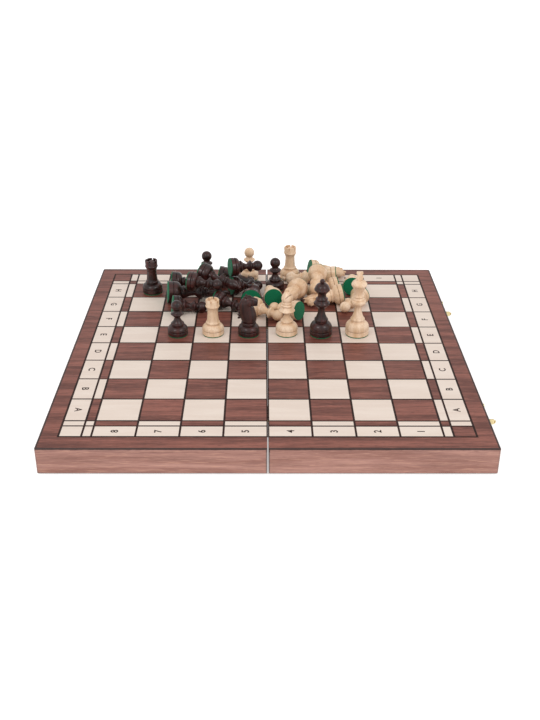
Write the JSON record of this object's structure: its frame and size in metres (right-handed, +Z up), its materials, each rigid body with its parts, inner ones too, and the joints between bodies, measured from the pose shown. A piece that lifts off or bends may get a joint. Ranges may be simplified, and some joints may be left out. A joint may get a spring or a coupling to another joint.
{
  "type": "chess set with board",
  "caption": "Folding wooden chess box laid open as a playing board, with hinges, side hooks and a full set of turned felted playing pieces, some standing and the rest in a heap.",
  "frame": {"origin": "the resting plane of the rims, at the middle of the open board's seam", "axes": "+Z up out of the playing surface, +X towards the half that folds, +Y towards the back edge"},
  "size_m": [0.4926, 0.4774, 0.1167],
  "materials": {
    "playing_surface": "satin lacquered veneer with pale squares and dark lines",
    "frame_wood": "satin stained wood",
    "dark_wood": "gloss dark stained turned wood, green felt under the foot",
    "light_wood": "satin clear lacquered turned wood, green felt under the foot",
    "felt": "matt felt",
    "brass": "polished brass"
  },
  "bodies": {
    "left_half": {"catch_studs": "brass", "hinge_leaves_left": "brass", "hinge_pins": "brass", "hinge_screws_left": "brass", "left_back_rail": "frame_wood", "left_front_rail": "frame_wood", "left_lining": "felt", "left_outer_rail": "frame_wood", "left_panel": "playing_surface", "left_seam_rail": "frame_wood"},
    "right_half": {"hinge_leaves_right": "brass", "hinge_screws_right": "brass", "hook_screws": "brass", "right_back_rail": "frame_wood", "right_front_rail": "frame_wood", "right_lining": "felt", "right_outer_rail": "frame_wood", "right_panel": "playing_surface", "right_seam_rail": "frame_wood"},
    "hook_front_body": {"hook_front": "brass"},
    "hook_back_body": {"hook_back": "brass"},
    "dark_pawn_1_body": {"dark_pawn_1": "dark_wood"},
    "light_rook_1_body": {"light_rook_1": "light_wood"},
    "dark_knight_1_body": {"dark_knight_1": "dark_wood"},
    "light_bishop_1_body": {"light_bishop_1": "light_wood"},
    "dark_queen_body": {"dark_queen": "dark_wood"},
    "light_king_body": {"light_king": "light_wood"},
    "dark_rook_1_body": {"dark_rook_1": "dark_wood"},
    "dark_pawn_2_body": {"dark_pawn_2": "dark_wood"},
    "light_pawn_1_body": {"light_pawn_1": "light_wood"},
    "dark_pawn_3_body": {"dark_pawn_3": "dark_wood"},
    "light_rook_2_body": {"light_rook_2": "light_wood"},
    "dark_bishop_1_body": {"dark_bishop_1": "dark_wood"},
    "dark_king_body": {"dark_king": "dark_wood"},
    "dark_pawn_4_body": {"dark_pawn_4": "dark_wood"},
    "dark_pawn_5_body": {"dark_pawn_5": "dark_wood"},
    "dark_pawn_6_body": {"dark_pawn_6": "dark_wood"},
    "dark_knight_2_body": {"dark_knight_2": "dark_wood"},
    "dark_rook_2_body": {"dark_rook_2": "dark_wood"},
    "light_pawn_2_body": {"light_pawn_2": "light_wood"},
    "light_pawn_3_body": {"light_pawn_3": "light_wood"},
    "light_pawn_4_body": {"light_pawn_4": "light_wood"},
    "light_knight_1_body": {"light_knight_1": "light_wood"},
    "light_pawn_6_body": {"light_pawn_6": "light_wood"},
    "light_pawn_7_body": {"light_pawn_7": "light_wood"},
    "light_pawn_5_body": {"light_pawn_5": "light_wood"},
    "light_knight_2_body": {"light_knight_2": "light_wood"},
    "light_queen_body": {"light_queen": "light_wood"},
    "light_pawn_8_body": {"light_pawn_8": "light_wood"},
    "dark_bishop_2_body": {"dark_bishop_2": "dark_wood"},
    "dark_pawn_7_body": {"dark_pawn_7": "dark_wood"},
    "dark_pawn_8_body": {"dark_pawn_8": "dark_wood"},
    "light_bishop_2_body": {"light_bishop_2": "light_wood"}
  },
  "joints": [
    {"name": "board_fold", "type": "hinge", "parent": "left_half", "child": "right_half", "pos_m": [0, 0, -0.0002], "axis": [0, 1, 0], "range_deg": [0, 180]},
    {"name": "hook_front_turn", "type": "hinge", "parent": "right_half", "child": "hook_front_body", "pos_m": [0.24105, -0.138, 0.021], "axis": [1, 0, 0], "range_deg": [0, 90]},
    {"name": "hook_back_turn", "type": "hinge", "parent": "right_half", "child": "hook_back_body", "pos_m": [0.24105, 0.138, 0.021], "axis": [1, 0, 0], "range_deg": [0, 90]},
    {"name": "dark_pawn_1_lift", "type": "slide", "parent": "left_half", "child": "dark_pawn_1_body", "axis": [0, 0, 1], "range_m": [0, 0.12]},
    {"name": "light_rook_1_lift", "type": "slide", "parent": "left_half", "child": "light_rook_1_body", "axis": [0, 0, 1], "range_m": [0, 0.12]},
    {"name": "dark_knight_1_lift", "type": "slide", "parent": "left_half", "child": "dark_knight_1_body", "axis": [0, 0, 1], "range_m": [0, 0.12]},
    {"name": "light_bishop_1_lift", "type": "slide", "parent": "right_half", "child": "light_bishop_1_body", "axis": [0, 0, 1], "range_m": [0, 0.12]},
    {"name": "dark_queen_lift", "type": "slide", "parent": "right_half", "child": "dark_queen_body", "axis": [0, 0, 1], "range_m": [0, 0.12]},
    {"name": "light_king_lift", "type": "slide", "parent": "right_half", "child": "light_king_body", "axis": [0, 0, 1], "range_m": [0, 0.12]},
    {"name": "dark_rook_1_lift", "type": "slide", "parent": "left_half", "child": "dark_rook_1_body", "axis": [0, 0, 1], "range_m": [0, 0.12]},
    {"name": "dark_pawn_2_lift", "type": "slide", "parent": "left_half", "child": "dark_pawn_2_body", "axis": [0, 0, 1], "range_m": [0, 0.12]},
    {"name": "light_pawn_1_lift", "type": "slide", "parent": "left_half", "child": "light_pawn_1_body", "axis": [0, 0, 1], "range_m": [0, 0.12]},
    {"name": "dark_pawn_3_lift", "type": "slide", "parent": "right_half", "child": "dark_pawn_3_body", "axis": [0, 0, 1], "range_m": [0, 0.12]},
    {"name": "light_rook_2_lift", "type": "slide", "parent": "right_half", "child": "light_rook_2_body", "axis": [0, 0, 1], "range_m": [0, 0.12]},
    {"name": "dark_bishop_1_lift", "type": "slide", "parent": "left_half", "child": "dark_bishop_1_body", "axis": [0, 0, 1], "range_m": [0, 0.12]},
    {"name": "dark_king_lift", "type": "slide", "parent": "left_half", "child": "dark_king_body", "axis": [0, 0, 1], "range_m": [0, 0.12]},
    {"name": "dark_pawn_4_lift", "type": "slide", "parent": "left_half", "child": "dark_pawn_4_body", "axis": [0, 0, 1], "range_m": [0, 0.12]},
    {"name": "dark_pawn_5_lift", "type": "slide", "parent": "dark_king_body", "child": "dark_pawn_5_body", "axis": [0, 0, 1], "range_m": [0, 0.12]},
    {"name": "dark_pawn_6_lift", "type": "slide", "parent": "left_half", "child": "dark_pawn_6_body", "axis": [0, 0, 1], "range_m": [0, 0.12]},
    {"name": "dark_knight_2_lift", "type": "slide", "parent": "left_half", "child": "dark_knight_2_body", "axis": [0, 0, 1], "range_m": [0, 0.12]},
    {"name": "dark_rook_2_lift", "type": "slide", "parent": "left_half", "child": "dark_rook_2_body", "axis": [0, 0, 1], "range_m": [0, 0.12]},
    {"name": "light_pawn_2_lift", "type": "slide", "parent": "right_half", "child": "light_pawn_2_body", "axis": [0, 0, 1], "range_m": [0, 0.12]},
    {"name": "light_pawn_3_lift", "type": "slide", "parent": "left_half", "child": "light_pawn_3_body", "axis": [0, 0, 1], "range_m": [0, 0.12]},
    {"name": "light_pawn_4_lift", "type": "slide", "parent": "right_half", "child": "light_pawn_4_body", "axis": [0, 0, 1], "range_m": [0, 0.12]},
    {"name": "light_knight_1_lift", "type": "slide", "parent": "right_half", "child": "light_knight_1_body", "axis": [0, 0, 1], "range_m": [0, 0.12]},
    {"name": "light_pawn_6_lift", "type": "slide", "parent": "right_half", "child": "light_pawn_6_body", "axis": [0, 0, 1], "range_m": [0, 0.12]},
    {"name": "light_pawn_7_lift", "type": "slide", "parent": "right_half", "child": "light_pawn_7_body", "axis": [0, 0, 1], "range_m": [0, 0.12]},
    {"name": "light_pawn_5_lift", "type": "slide", "parent": "light_knight_1_body", "child": "light_pawn_5_body", "axis": [0, 0, 1], "range_m": [0, 0.12]},
    {"name": "light_knight_2_lift", "type": "slide", "parent": "right_half", "child": "light_knight_2_body", "axis": [0, 0, 1], "range_m": [0, 0.12]},
    {"name": "light_queen_lift", "type": "slide", "parent": "right_half", "child": "light_queen_body", "axis": [0, 0, 1], "range_m": [0, 0.12]},
    {"name": "light_pawn_8_lift", "type": "slide", "parent": "light_pawn_5_body", "child": "light_pawn_8_body", "axis": [0, 0, 1], "range_m": [0, 0.12]},
    {"name": "dark_bishop_2_lift", "type": "slide", "parent": "dark_pawn_5_body", "child": "dark_bishop_2_body", "axis": [0, 0, 1], "range_m": [0, 0.12]},
    {"name": "dark_pawn_7_lift", "type": "slide", "parent": "dark_pawn_5_body", "child": "dark_pawn_7_body", "axis": [0, 0, 1], "range_m": [0, 0.12]},
    {"name": "dark_pawn_8_lift", "type": "slide", "parent": "dark_pawn_6_body", "child": "dark_pawn_8_body", "axis": [0, 0, 1], "range_m": [0, 0.12]},
    {"name": "light_bishop_2_lift", "type": "slide", "parent": "light_pawn_4_body", "child": "light_bishop_2_body", "axis": [0, 0, 1], "range_m": [0, 0.12]}
  ]
}
